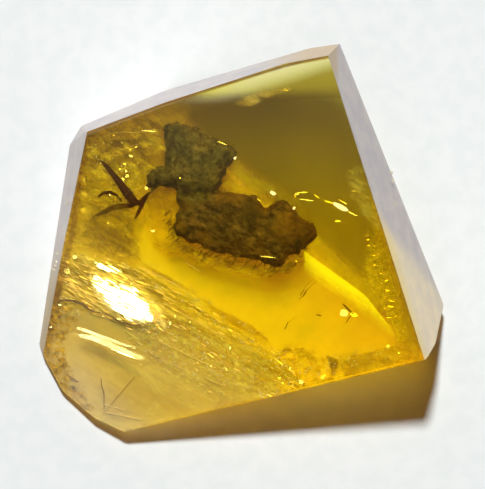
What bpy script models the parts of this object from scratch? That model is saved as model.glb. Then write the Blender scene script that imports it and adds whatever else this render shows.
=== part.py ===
"""Insect in amber: a small ground block of clear amber with one insect sealed inside.

The block is a wedge. Its polished top is one tilted plane, its sides are ground facets, it rests
on a flat base, and past one straight line the underside rises as a slanted facet. To leave an open
pocket for the insect, the block is parted in two along a plane halfway up.
"""
import math

import bmesh
import bpy
from mathutils import Matrix, Vector

MM = 0.001

# Polished top plane: height above the origin, and rise per mm to the right (X) and back (Y)
TOP_HEIGHT = 4.39
TOP_RISE_X = 0.280
TOP_RISE_Y = 0.1585

# Corners of the polished top, seen from above, in mm
FRONT = (-5.88, -9.75)
FRONT_MIDDLE = (-7.42, -9.05)
FRONT_LEFT = (-9.07, -7.64)
LEFT_FOOT = (-10.03, -5.85)
LEFT_BEND = (-8.90, -0.14)
LEFT_HIGH = (-7.76, 5.04)
BACK_LEFT = (-7.42, 5.54)
BACK_BEND = (-3.72, 6.87)
BACK_HIGH = (2.23, 8.70)
BACK_RIGHT = (4.34, 9.06)
RIGHT_LOW = (9.13, -5.92)

# The corner at the right is cut off upright: its edge seen from above, in mm
RIGHT_CUT_BACK = (10.14, -4.05)
RIGHT_CUT_MIDDLE = (9.79, -5.20)
RIGHT_CUT_FRONT = (9.15, -5.99)

# The side facets, each with the edge it runs from and its lean in degrees, outwards on its way down
SIDE_FACETS = (
    (FRONT_LEFT, LEFT_FOOT, -2.0),
    (LEFT_FOOT, LEFT_BEND, 27.0),
    (LEFT_BEND, LEFT_HIGH, 17.5),
    (LEFT_HIGH, BACK_LEFT, 11.0),
    (BACK_LEFT, BACK_BEND, 11.0),
    (BACK_BEND, BACK_HIGH, 11.5),
    (BACK_HIGH, BACK_RIGHT, 16.0),
    (BACK_RIGHT, RIGHT_LOW, 22.0),
    (RIGHT_CUT_BACK, RIGHT_CUT_MIDDLE, 0.0),
    (RIGHT_CUT_MIDDLE, RIGHT_CUT_FRONT, 0.0),
    (RIGHT_LOW, FRONT, -2.0),
    (FRONT, FRONT_MIDDLE, -2.0),
    (FRONT_MIDDLE, FRONT_LEFT, -2.0),
)

# The slanted underside facet: the line where it leaves the base, in mm, and its tilt in degrees
UNDERSIDE_START = (0.23, 3.57)
UNDERSIDE_END = (8.93, -4.47)
UNDERSIDE_TILT = 33.0

EDGE_ROUNDING = 0.08
SNAP = 0.001            # a corner this close to a new facet lies on it
BLANK_SIZE = 40.0

# Parting plane between the two halves, halfway between the base and the top
PARTING_HEIGHT = 2.2
PARTING_RISE_X = 0.14
PARTING_RISE_Y = 0.08
FIT_GAP = 0.3

# The insect: each length in mm, each place seen from above
LUMP_ROUNDING = 0.36    # edge rounding of a body lump, as a share of its least thickness
THORAX_CENTRE = (-1.85, 4.40)
THORAX_SIZE = (3.3, 2.6, 1.8)
THORAX_TURN = -24.0
HEAD_CENTRE = (-3.85, 3.10)
HEAD_SIZE = (1.6, 1.2, 1.1)
HEAD_TURN = 25.0
WAIST_CENTRE = (-1.30, 2.70)
WAIST_SIZE = (1.9, 1.4, 1.2)
ABDOMEN_BACK = (-3.15, 1.30)
ABDOMEN_TIP = (4.08, 0.45)
ABDOMEN_FLATTENING = 0.56
ABDOMEN_SIDES = 20
# Half width of the abdomen at steps from its blunt end to its tip, the steps as shares of its length
ABDOMEN_PROFILE = ((0.0, 0.0), (0.0, 0.60), (0.05, 0.90), (0.15, 1.25), (0.30, 1.66), (0.46, 1.86),
                   (0.60, 1.83), (0.72, 1.60), (0.80, 1.36), (0.90, 0.86), (0.96, 0.40), (1.0, 0.0))
FRONT_LEG = ((-3.80, 2.95), (-4.45, 2.60), (-5.29, 2.12), (-5.95, 2.98), (-7.10, 4.10))
FRONT_LEG_RADIUS = 0.15
HIND_LEG = ((-3.90, 2.60), (-4.60, 2.20), (-5.19, 1.90), (-5.76, 1.81), (-7.25, 1.32))
HIND_LEG_RADIUS = 0.12


def clear_scene():
    for existing in list(bpy.data.objects):
        bpy.data.objects.remove(existing, do_unlink=True)


def make_collection(name):
    collection = bpy.data.collections.new(name)
    bpy.context.scene.collection.children.link(collection)
    return collection


def make_material(name, colour, roughness, transmission=0.0):
    material = bpy.data.materials.new(name)
    material.use_nodes = True
    shader = material.node_tree.nodes["Principled BSDF"]
    shader.inputs["Base Color"].default_value = (*colour, 1.0)
    shader.inputs["Roughness"].default_value = roughness
    shader.inputs["Metallic"].default_value = 0.0
    shader.inputs["Transmission Weight"].default_value = transmission
    return material


def amber_material():
    return make_material("clear_amber", (0.86, 0.55, 0.02), 0.05, transmission=1.0)


def insect_material():
    return make_material("dark_insect", (0.10, 0.06, 0.02), 0.6)


def height_on_top(x, y):
    return TOP_HEIGHT + TOP_RISE_X * x + TOP_RISE_Y * y


def height_at_parting(x, y):
    return PARTING_HEIGHT + PARTING_RISE_X * x + PARTING_RISE_Y * y


def on_parting(place):
    """The point of the parting plane below a place seen from above."""
    x, y = place
    return Vector((x, y, height_at_parting(x, y))) * MM


def mesh_object(name, mesh, collection):
    piece = bpy.data.objects.new(name, mesh)
    collection.objects.link(piece)
    return piece


def object_from(bm, name, collection):
    bmesh.ops.recalc_face_normals(bm, faces=bm.faces)
    mesh = bpy.data.meshes.new(name)
    bm.to_mesh(mesh)
    bm.free()
    return mesh_object(name, mesh, collection)


def grind(bm, point, outward):
    """Grind the block flat: all that lies outside the plane goes, and the cut is closed."""
    every_part = bm.verts[:] + bm.edges[:] + bm.faces[:]
    cut = bmesh.ops.bisect_plane(bm, geom=every_part, dist=SNAP * MM, plane_co=point, plane_no=outward,
                                 clear_outer=True)
    rim = [part for part in cut["geom_cut"] if isinstance(part, bmesh.types.BMEdge)]
    if rim:
        bmesh.ops.edgeloop_fill(bm, edges=rim)


def side_facet(bm, start, end, lean):
    """Grind a side facet through an edge of the top plane, leaning outwards on its way down."""
    first = Vector((*start, height_on_top(*start))) * MM
    last = Vector((*end, height_on_top(*end))) * MM
    along = (last - first).normalized()
    across = Vector((-along.y, along.x, 0.0)).normalized()
    if first.dot(across) < 0.0:
        across.negate()
    lean = math.radians(lean)
    outward = across * math.cos(lean) + Vector((0.0, 0.0, math.sin(lean)))
    outward = (outward - outward.dot(along) * along).normalized()
    grind(bm, first, outward)


def underside_facet(bm):
    start = Vector((*UNDERSIDE_START, 0.0)) * MM
    end = Vector((*UNDERSIDE_END, 0.0)) * MM
    along = (end - start).normalized()
    across = Vector((-along.y, along.x, 0.0))
    if across.y < 0.0:
        across.negate()
    tilt = math.radians(UNDERSIDE_TILT)
    grind(bm, start, across * math.sin(tilt) - Vector((0.0, 0.0, math.cos(tilt))))


def amber_block(collection):
    """The whole block, ground to shape, with lightly rounded edges."""
    bm = bmesh.new()
    bmesh.ops.create_cube(bm, size=BLANK_SIZE * MM)
    grind(bm, Vector((0.0, 0.0, 0.0)), Vector((0.0, 0.0, -1.0)))
    grind(bm, Vector((0.0, 0.0, TOP_HEIGHT * MM)), Vector((-TOP_RISE_X, -TOP_RISE_Y, 1.0)).normalized())
    for start, end, lean in SIDE_FACETS:
        side_facet(bm, start, end, lean)
    underside_facet(bm)
    bmesh.ops.bevel(bm, geom=bm.edges[:], offset=EDGE_ROUNDING * MM, segments=1, affect="EDGES",
                    clamp_overlap=True)
    bmesh.ops.dissolve_degenerate(bm, dist=0.005 * MM, edges=bm.edges[:])
    return object_from(bm, "amber_block", collection)


def parting_half(block, name, above, collection):
    """One half of the block, cut back from the parting plane by half the gap."""
    bm = bmesh.new()
    bm.from_mesh(block.data)
    up = Vector((-PARTING_RISE_X, -PARTING_RISE_Y, 1.0)).normalized()
    side = 1.0 if above else -1.0
    centre = Vector((0.0, 0.0, PARTING_HEIGHT * MM))
    grind(bm, centre + up * (side * FIT_GAP / 2.0 * MM), up * -side)
    return object_from(bm, name, collection)


def rounded_lump(name, place, size, turn, grow, collection):
    """A lump of the body: a box with broad rounded edges, at its place on the parting plane."""
    bm = bmesh.new()
    bmesh.ops.create_cube(bm, size=1.0)
    bmesh.ops.scale(bm, vec=Vector([(length + 2.0 * grow) * MM for length in size]), verts=bm.verts)
    turned = Matrix.Rotation(math.radians(turn), 4, "Z")
    bmesh.ops.transform(bm, matrix=Matrix.Translation(on_parting(place)) @ turned, verts=bm.verts)
    lump = object_from(bm, name, collection)
    rounding = lump.modifiers.new("rounding", "BEVEL")
    rounding.width = LUMP_ROUNDING * min(size) * MM
    rounding.segments = 3
    return lump


def abdomen(name, grow, collection):
    """The pointed abdomen: a turned profile, flattened, laid along the parting plane."""
    back = on_parting(ABDOMEN_BACK)
    tip = on_parting(ABDOMEN_TIP)
    axis = tip - back
    length = axis.length / MM + 2.0 * grow
    bm = bmesh.new()
    ring = []
    for share, radius in ABDOMEN_PROFILE:
        wide = 0.0 if radius == 0.0 else radius + grow
        ring.append(bm.verts.new(Vector((wide, 0.0, length * share - grow)) * MM))
    for first, second in zip(ring, ring[1:]):
        bm.edges.new((first, second))
    bmesh.ops.spin(bm, geom=bm.verts[:] + bm.edges[:], angle=math.tau, steps=ABDOMEN_SIDES,
                   axis=(0.0, 0.0, 1.0), cent=(0.0, 0.0, 0.0))
    bmesh.ops.remove_doubles(bm, verts=bm.verts, dist=0.002 * MM)
    across = Vector((0.0, 0.0, 1.0)).cross(axis).normalized()
    upward = axis.normalized().cross(across)
    flat = ABDOMEN_FLATTENING
    columns = (across, upward * flat, axis.normalized())
    lay = Matrix([[column[row] for column in columns] for row in range(3)]).to_4x4()
    bmesh.ops.transform(bm, matrix=Matrix.Translation(back) @ lay, verts=bm.verts)
    return object_from(bm, name, collection)


def leg(name, route, radius, collection):
    """A leg: a bevelled curve through its joints, turned into a closed mesh."""
    curve = bpy.data.curves.new(name, "CURVE")
    curve.dimensions = "3D"
    curve.bevel_depth = radius * MM
    curve.bevel_resolution = 1
    curve.use_fill_caps = True
    spline = curve.splines.new("POLY")
    spline.points.add(len(route) - 1)
    for point, place in zip(spline.points, route):
        point.co = (*on_parting(place), 1.0)
    guide = mesh_object(name + "_curve", curve, collection)
    bpy.context.view_layer.update()
    evaluated = guide.evaluated_get(bpy.context.evaluated_depsgraph_get())
    mesh = bpy.data.meshes.new_from_object(evaluated)
    bm = bmesh.new()
    bm.from_mesh(mesh)
    bmesh.ops.remove_doubles(bm, verts=bm.verts, dist=0.001 * MM)
    bpy.data.objects.remove(guide, do_unlink=True)
    return object_from(bm, name, collection)


def boolean(target, tool, operation):
    cut = target.modifiers.new(tool.name, "BOOLEAN")
    cut.operation = operation
    cut.object = tool
    tool.hide_render = True
    tool.display_type = "WIRE"


def insect_forms(name, grow, collection):
    """The insect's thorax, head, waist, abdomen and legs, each grown by the same amount."""
    return (
        rounded_lump(name + "_thorax", THORAX_CENTRE, THORAX_SIZE, THORAX_TURN, grow, collection),
        rounded_lump(name + "_head", HEAD_CENTRE, HEAD_SIZE, HEAD_TURN, grow, collection),
        rounded_lump(name + "_waist", WAIST_CENTRE, WAIST_SIZE, THORAX_TURN, grow, collection),
        abdomen(name + "_abdomen", grow, collection),
        leg(name + "_front_leg", FRONT_LEG, FRONT_LEG_RADIUS + grow, collection),
        leg(name + "_hind_leg", HIND_LEG, HIND_LEG_RADIUS + grow, collection),
    )


def whole_insect(parts, helpers):
    """The insect's forms joined in one solid."""
    body, *limbs = insect_forms("insect", 0.0, helpers)
    for limb in limbs:
        boolean(body, limb, "UNION")
    body.name = "insect"
    helpers.objects.unlink(body)
    parts.objects.link(body)
    return body


def cut_pocket(half, pocket):
    for form in pocket:
        boolean(half, form, "DIFFERENCE")


def build():
    clear_scene()
    parts = make_collection("insect_in_amber")
    helpers = make_collection("cutters")

    block = amber_block(helpers)
    lower = parting_half(block, "amber_lower", False, parts)
    upper = parting_half(block, "amber_upper", True, parts)
    bpy.data.objects.remove(block, do_unlink=True)

    pocket = insect_forms("pocket", FIT_GAP, helpers)
    insect = whole_insect(parts, helpers)
    amber = amber_material()
    for half in (lower, upper):
        cut_pocket(half, pocket)
        half.data.materials.append(amber)
    insect.data.materials.append(insect_material())
    for piece in (lower, upper, insect):
        piece.data.shade_smooth()
        piece.data.set_sharp_from_angle(angle=math.radians(30.0))


build()
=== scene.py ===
"""Insect in amber: the looks of the polished block, its insect and the cracks inside it."""

import math
import random

import bmesh
import bpy
from mathutils import Matrix, Vector, noise


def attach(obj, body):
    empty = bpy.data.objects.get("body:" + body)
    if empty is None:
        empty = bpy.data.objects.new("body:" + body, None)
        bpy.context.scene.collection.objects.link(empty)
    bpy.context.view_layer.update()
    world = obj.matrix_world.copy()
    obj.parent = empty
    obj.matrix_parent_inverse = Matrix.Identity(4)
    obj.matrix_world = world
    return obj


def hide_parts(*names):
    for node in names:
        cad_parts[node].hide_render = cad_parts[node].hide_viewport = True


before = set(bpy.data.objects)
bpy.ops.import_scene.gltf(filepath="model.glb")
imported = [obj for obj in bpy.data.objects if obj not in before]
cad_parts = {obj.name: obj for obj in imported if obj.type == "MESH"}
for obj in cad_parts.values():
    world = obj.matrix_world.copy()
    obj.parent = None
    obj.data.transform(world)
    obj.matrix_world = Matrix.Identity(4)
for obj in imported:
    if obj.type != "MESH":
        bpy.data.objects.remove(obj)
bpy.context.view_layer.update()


def pixels(*numbers):
    """Pixels of the photograph, from across and down in turn."""
    return tuple(zip(numbers[::2], numbers[1::2]))


MM = 0.001
WHITE = (1.0, 1.0, 1.0)

# The photographer looks straight down; lengths in mm
CAMERA_HEIGHT = 170.0
CAMERA_PLACE = (0.14, -0.215)
PICTURE_MIDDLE = (242.5, 244.5)
PICTURE_HEIGHT = 489
PIXEL = 0.0512
SENSOR_WIDTH = 36.0

# The lamp: a small disk far off, high behind the piece
LAMP_ELEVATION = math.radians(60.0)
LAMP_AZIMUTH = math.radians(-7.0)
LAMP_DISTANCE = 1.5
LAMP_WIDTH = math.radians(6.0)
LAMP_BRIGHTNESS = 0.95
ROOM_BRIGHTNESS = 0.008
INSECT_SHADOW = (0.84, 0.76, 0.45)
ROOM_COLOUR = (1.0, 0.93, 0.78)
PAPER_WHITES = ((0.865, 0.900, 0.890), (0.905, 0.930, 0.922))

# How clear amber takes colour out of the light, per metre
AMBER_IOR = 1.54
AMBER_TINT = (0.998, 0.9675, 0.16)
AMBER_DEPTH = 1000.0
SHADOW_TINT = (0.29, 0.17, 0.075)

# The clear block, and how its kinds of facets are told by the height of their normals
BLANK_SIZE = 0.04
LEAST_FACET_WIDTH = 0.2 * MM
EDGE_WEAR = 0.07 * MM
CORNER_WEAR = 0.6 * MM
CORNER_SWELL = 0.18 * MM
CREASE_WEAR = 0.9 * MM
INNER_MARGIN = 0.04 * MM
FAR_OUTSIDE = 0.3 * MM
SAME_FACING = 0.9998
CREASE_FACING = (0.679, 0.734)
CREASE_REACH = 2.78
STEEP = 0.55
FLAT_BELOW = -0.98
SLANTED_BELOW = -0.6
SHARP_EDGE = math.radians(14.0)
MASKS = ("ground", "dull_and_shaded", "top", "right", "foot", "worn_and_lit")
# The top facet's back edge in three stretches: how far back at x = 0, and its slope
BACK_EDGES = ((8.163, 0.36), (7.97, 0.308), (8.28, 0.17))
STREAK_TURN = math.radians(28.0)
BEVEL_TURN = math.radians(-17.8)

# How clouded colours spread, and a zone's edge: how uneven it is, and where it starts and ends
CLOSE_SPREAD = 0.14
WIDE_SPREAD = 0.24
SOFT_EDGE = (0.3, 0.05, 0.95)
BROKEN_EDGE = (2.0, 0.15, 0.65)

# Colours of the amber's surface: seen through the top, on the ground bevels and on the polished top
# Painted shade: the olive and brown seen through the slanted underside, and the shade on part of the foot
UNDERSIDE_SHADE_OLIVE = (0.28, 0.31, 0.35)
UNDERSIDE_SHADE_BROWN = (0.19, 0.135, 0.035)
FOOT_SHADED = (0.46, 0.44, 0.5)
BEVEL_LILACS = ((0.60, 0.555, 0.58), (0.70, 0.64, 0.615))
# Painted glow: the light through the lower right bevel, cream on it
BEVEL_GLOW_CREAM = (1.0, 0.86, 0.60)
BEVEL_WARM_LEFT = (0.50, 0.36, 0.14)
BEVEL_WARM_BACK = (0.62, 0.46, 0.26)
# Painted glow near the inner edge of the lower right bevel
BEVEL_INNER_GLOW = (1.0, 0.80, 0.34)
# Painted sheen on the polished top, and a painted glow on the band of light at its back
TOP_SHEEN = (0.78, 0.74, 0.44)
BAND_GLOWS = ((0.88, 0.79, 0.22), (1.0, 0.95, 0.62))
# Painted grey sheen at the top's lower left
CORNER_GREY_SHEEN = (0.70, 0.80, 0.92)
EDGE_BROWN = (0.36, 0.20, 0.05)
# Painted highlight on the front edge's wear
WORN_HIGHLIGHT = (1.0, 0.86, 0.44)

# How many small things lie inside, and their sizes
COMB_TICKS = 64
SLIVER_COUNT = 520
FIBRE_COUNT = 240
GLINT_SHRINK = 0.75
FLAKE_SIDES = 10
LEG_SIDES = 10
HAIRS_PER_MM2 = 22.0
HAIR_LENGTH = 0.34
HAIR_TILT = 1.3
HAIR_TURN = 3.1
SPARKLES_PER_MM2 = 12.0
SPARKLE_SIZE = 0.05
SPARKLE_TILT = math.radians(4.5)
SLIVER_SEED = 11
FIBRE_SEED = 7
HAIR_SEED = 5
SPARKLE_SEED = 3
# The shares of the block's height at which they lie
SLIVER_SHARE = 0.64
CRUMB_SLIVER_SHARE = 0.79
FIBRE_SHARES = (0.52, 0.62)
FLASH_SHARE = 0.68
SHALLOW_SHARE = 0.92
COMB_SHARE = 0.6
FOLD_SHARE = 0.74
HAIR_CRACK_SHARE = 0.72
WAVY_CRACK_SHARE = 0.86
# The paper below
FLOOR_SIZE = 0.6
FLOOR_DROP = 0.02 * MM

# The insect's two lobes and its legs, as pixels of the photograph, and its sizes in mm
THORAX_OUTLINE = pixels(162, 124, 172, 122, 185, 123, 197, 128, 207, 134, 220, 139, 232, 146, 237, 152,
                        236, 158, 230, 166, 225, 175, 222, 184, 218, 191, 210, 195, 198, 195, 185, 195,
                        175, 190, 162, 186, 150, 189, 144, 187, 147, 177, 150, 168, 158, 166, 165, 166,
                        164, 150, 163, 135)
ABDOMEN_OUTLINE = pixels(177, 188, 190, 191, 205, 192, 218, 190, 230, 193, 238, 195, 250, 195, 258, 200,
                         266, 207, 272, 205, 278, 200, 286, 201, 294, 208, 301, 215, 309, 221, 316, 228,
                         319, 235, 315, 242, 306, 247, 298, 252, 290, 258, 284, 264, 277, 269, 270, 266,
                         262, 263, 250, 260, 238, 257, 225, 253, 212, 250, 200, 246, 188, 243, 177, 237,
                         172, 228, 175, 219, 179, 212, 176, 203)
THORAX_MIDDLE = (195, 152)
ABDOMEN_MIDDLE = (243, 226)
LOBE_THICKNESS = 1.7
LOBE_STEP = 2.0
RAGGED_STEP = 4.0
RAGGED_GRAIN = 0.23
THORAX_CRUMBLE = 2.5
ABDOMEN_CRUMBLE = 4.0
INSECT_SHARE = 0.5
LEG_ROUTES = (
    pixels(158, 186, 148, 194, 139, 203, 134, 202, 127, 193, 119, 182, 108, 168, 100, 160),
    pixels(139, 203, 131, 206, 122, 206, 112, 208, 104, 212, 92, 217),
    pixels(122, 202, 118, 196, 110, 192, 103, 193, 98, 197),
    pixels(148, 194, 143, 204, 139, 211, 135, 219))
LEG_WIDTHS = ((0.08, 0.08, 0.12, 0.24, 0.24, 0.19, 0.12, 0.05), (0.08, 0.11, 0.15, 0.16, 0.11, 0.05),
              (0.07, 0.08, 0.10, 0.08, 0.06), (0.08, 0.09, 0.12, 0.07))
LEG_RISE = 0.13
INSECT_GRAIN = 0.065
# The body's marked spots: across, down and size in pixels
RUSTY_SPOTS = ((302, 236, 24),)
DARK_SPOTS = ((249, 214, 15), (186, 192, 8), (172, 183, 6), (296, 246, 7), (184, 232, 8))
SOAKED_SPOTS = ((279, 229, 13), (236, 189, 17), (222, 196, 10), (281, 222, 11), (184, 206, 9),
                (203, 240, 9), (262, 205, 8), (180, 228, 7))
# The body's colours, a light and a dark one where it is clouded
BODY_BROWNS = ((0.29, 0.21, 0.14), (0.054, 0.040, 0.034))
THORAX_GREENS = ((0.30, 0.29, 0.27), (0.060, 0.056, 0.056))
WIDE_PATCHES = ((1.30, 1.15, 1.00), (0.52, 0.56, 0.62))
RUST = (0.22, 0.13, 0.05)
DARK_BROWN = (0.070, 0.060, 0.050)
SOAKED_BROWN = (0.34, 0.21, 0.06)
LEG_BROWN = (0.085, 0.028, 0.012)

# Cracked and clouded zones inside the block, and sheets of painted shade and painted light, by the names of
# their pieces
ZONES = {
    "pale_crack": pixels(34, 334, 48, 312, 62, 306, 75, 303, 88, 310, 99, 314, 115, 320, 132, 325, 146, 324,
        158, 323, 175, 337, 200, 349, 235, 365, 262, 380, 290, 392, 310, 402, 210, 426, 127, 448, 95, 432,
        58, 408, 32, 362),
    "streaked_crack": pixels(46, 256, 74, 252, 92, 255, 112, 260, 143, 268, 162, 280, 188, 295, 210, 310,
        226, 321, 239, 328, 262, 343, 276, 351, 292, 366, 306, 388, 300, 400, 262, 383, 235, 368, 200, 352,
        175, 340, 158, 326, 146, 327, 132, 328, 115, 323, 99, 317, 88, 313, 75, 306, 62, 309, 40, 322),
    "left_crack": pixels(74, 122, 104, 112, 140, 103, 164, 100, 172, 120, 168, 150, 158, 172, 150, 188,
        142, 203, 145, 226, 144, 245, 147, 273, 112, 264, 92, 259, 74, 257, 50, 262, 58, 225, 64, 190,
        68, 160),
    "comb_crack": pixels(372, 186, 380, 184, 384, 212, 388, 237, 396, 269, 404, 295, 411, 327, 414, 344,
        396, 346, 388, 326, 374, 302, 365, 286, 361, 269, 366, 250, 372, 236, 368, 210),
    "front_crack": pixels(268, 354, 283, 341, 305, 343, 325, 351, 345, 351, 372, 346, 398, 340, 416, 346,
        420, 366, 380, 384, 330, 396, 296, 404, 280, 380),
    "painted_light_pool": pixels(284, 228, 306, 224, 340, 250, 372, 274, 390, 298, 400, 324, 398, 342, 386, 340,
        368, 324, 350, 309, 330, 296, 312, 284, 296, 270),
    "crease_shade": pixels(290, 230, 322, 230, 348, 254, 376, 280, 392, 306, 376, 318, 350, 300, 320, 280,
        294, 262),
    "flash_bloom": pixels(86, 264, 96, 260, 112, 264, 134, 276, 152, 292, 166, 312, 172, 330, 156, 332,
        130, 326, 110, 316, 96, 300, 86, 284),
    "waist_shade": pixels(208, 176, 214, 154, 230, 146, 252, 156, 276, 174, 304, 196, 314, 214, 294, 222,
        268, 214, 240, 206, 214, 202),
    "back_line": pixels(104, 124, 150, 105.5, 200, 89.5, 250, 74.5, 300, 60, 331, 53, 331, 57, 300, 64,
        250, 78.5, 200, 93.5, 150, 109.5, 104, 129),
    "right_shade": pixels(362, 184, 376, 180, 386, 212, 394, 240, 402, 268, 414, 305, 426, 345, 426, 364,
        400, 358, 388, 338, 382, 318, 368, 302, 354, 282, 358, 240),
    "right_line": pixels(375, 214, 382, 214, 402, 286, 421, 350, 422, 363, 414, 363, 395, 296),
    "corner_crumbs": pixels(50, 296, 70, 302, 82, 314, 74, 332, 66, 344, 72, 366, 84, 390, 98, 410, 84, 420,
        58, 402, 40, 370, 40, 330),
    "front_highlight": pixels(125, 429, 168, 420.6, 210, 412, 260, 401.6, 310, 391, 360, 376.5, 423, 358.5,
        423, 361.5, 360, 379.5, 310, 394, 260, 404.6, 210, 415, 168, 423.6, 126, 432),
    "crumbled_crack": pixels(118, 322, 150, 318, 186, 322, 214, 328, 236, 338, 262, 350, 280, 370, 294, 398,
        270, 406, 236, 403, 200, 395, 168, 382, 140, 364, 122, 344),
    "body_fringe": pixels(164, 205, 172, 196, 180, 225, 190, 240, 215, 250, 240, 258, 262, 260, 285, 256,
        305, 244, 318, 236, 320, 246, 308, 262, 292, 276, 268, 284, 245, 281, 222, 276, 200, 270, 180, 258,
        168, 242, 163, 225),
    "left_shade": pixels(84, 196, 110, 190, 134, 204, 144, 226, 146, 262, 112, 262, 90, 252, 78, 240,
        78, 214),
    "painted_body_shade": pixels(136, 192, 156, 180, 186, 184, 200, 212, 206, 250, 190, 262, 166, 262, 148, 250,
        138, 226),
    "neck_shade": pixels(146, 184, 176, 182, 186, 200, 184, 216, 166, 220, 150, 214, 142, 200),
    "corner_shade": pixels(118, 108, 150, 94, 182, 84, 196, 90, 196, 116, 184, 130, 162, 136, 146, 136,
        128, 126),
    "pale_sheen": pixels(96, 336, 124, 338, 160, 346, 200, 362, 250, 382, 296, 390, 300, 394, 250, 404,
        205, 413, 160, 421, 136, 420, 150, 398, 128, 372, 104, 356),
    "front_frost": pixels(334, 362, 350, 352, 372, 347, 398, 341, 413, 346, 416, 360, 382, 372, 344, 380),
    "left_rim_shade": pixels(82, 132, 91, 138, 86, 165, 82, 200, 77, 235, 69, 270, 62, 305, 54, 345,
        48, 364, 42, 354, 48, 310, 56, 272, 67, 235, 72, 200, 78, 165),
    "edge_shade": pixels(143, 260, 165, 271, 190, 286, 212, 302, 230, 313, 250, 323, 268, 337, 277, 352,
        262, 344, 239, 329, 226, 322, 210, 311, 188, 296, 162, 281, 143, 269),
    "top_wisps": pixels(226, 105, 240, 95, 262, 87, 290, 84, 302, 89, 277, 97, 262, 104, 250, 110,
        238, 108),
    "edge_haze": pixels(344, 168, 358, 160, 368, 166, 374, 190, 383, 222, 386, 234, 374, 232, 358, 216,
        346, 194),
    "dark_plug": pixels(324, 354, 331, 355, 340, 359, 339, 368, 336, 376, 331, 377, 328, 367)}
CREASE_POINTS = pixels(303, 250, 365, 295, 384, 319)
# Where the painted pool of light and the flash's bloom face the lamp: a pixel, and its share of the block's
# height
LIGHT_POOL_MIDDLE = (340.0, 284.0, 0.62)
BLOOM_MIDDLE = (123.0, 299.0, 0.66)
FLASH_OUTLINES = (
    pixels(94, 275, 106, 276, 122, 280, 132, 284, 142, 294, 150, 306, 155, 316, 151, 323, 138, 322,
           126, 320, 116, 312, 108, 304, 98, 292, 91, 283),
    pixels(94, 262, 104, 263, 114, 267, 123, 273, 118, 276, 106, 272, 97, 268),
    pixels(77, 327, 89, 330, 108, 337.5, 122, 342.5, 137, 348, 135, 349, 121, 345, 107, 340.5, 88, 333,
           77, 329),
    pixels(79, 334, 92, 335.5, 109, 341.5, 123, 348, 134, 352.5, 145, 357, 142, 360, 132, 357.5, 121, 353.5,
           107, 347, 91, 340, 79, 337))

# Lines inside the block, as pixels of the photograph
FIBRE_LINE = pixels(168, 212, 172, 232, 184, 245, 204, 252, 226, 258, 250, 263, 272, 270, 290, 262,
                    306, 250)
FOLD_LINES = (
    pixels(105, 135, 114, 133, 123, 132, 133, 132.5, 143, 132, 150, 130.5, 157, 129),
    pixels(94, 151, 102, 145, 110, 140, 120, 137),
    pixels(112, 158, 120, 150, 132, 146, 146, 141),
    pixels(150, 352, 170, 363, 194, 374),
    pixels(158, 341, 176, 349, 200, 361, 216, 368),
    pixels(206, 378, 226, 387),
    pixels(102, 412, 120, 415, 142, 420),
    pixels(104, 404, 124, 410),
    pixels(186, 262, 200, 272),
    pixels(150, 271, 174, 284, 196, 298),
    pixels(176, 310, 204, 326, 230, 340))
HAIR_CRACKS = (
    pixels(66, 374, 71, 378, 79, 382),
    pixels(323, 277, 317, 281, 308, 289, 303, 295, 299, 300),
    pixels(314, 279, 309, 283, 305, 287),
    pixels(308, 308, 302, 312, 295, 317, 289, 322),
    pixels(288, 322, 285, 329),
    pixels(314, 316, 317, 314.5, 321, 316),
    pixels(360, 309, 354, 312, 349, 318, 346, 323),
    pixels(343, 304, 347, 308, 352, 313),
    pixels(363, 313.5, 369, 310.5),
    pixels(135, 376, 120, 394, 104, 413),
    pixels(101, 378, 101.5, 386, 104, 394, 104, 409),
    pixels(70, 379, 74, 381.5, 79, 382),
    pixels(300, 296, 304, 289),
    pixels(306, 292, 303, 297))
FAINT_CRACKS_END = 150
WAVY_CRACK = pixels(57, 301, 66, 300, 74, 301, 82, 304, 88, 309, 94, 312, 104, 313, 112, 317, 120, 322,
                    131, 325, 142, 325, 150, 323, 158, 321)
SPARKLE_LINES = (
    pixels(143, 269, 188, 296, 226, 322, 262, 344, 290, 366, 302, 388),
    pixels(60, 302, 88, 310, 120, 322, 157, 322, 200, 345, 245, 362),
    pixels(90, 140, 118, 160, 130, 185),
    pixels(150, 338, 190, 356, 240, 372, 290, 388),
    pixels(275, 365, 305, 372, 330, 366, 390, 350))
SPARKLE_WIDTHS = (22.0, 16.0, 34.0, 36.0, 18.0)
SPARKLE_SHARES = (0.80, 0.80, 0.60, 0.80, 0.80)
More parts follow.
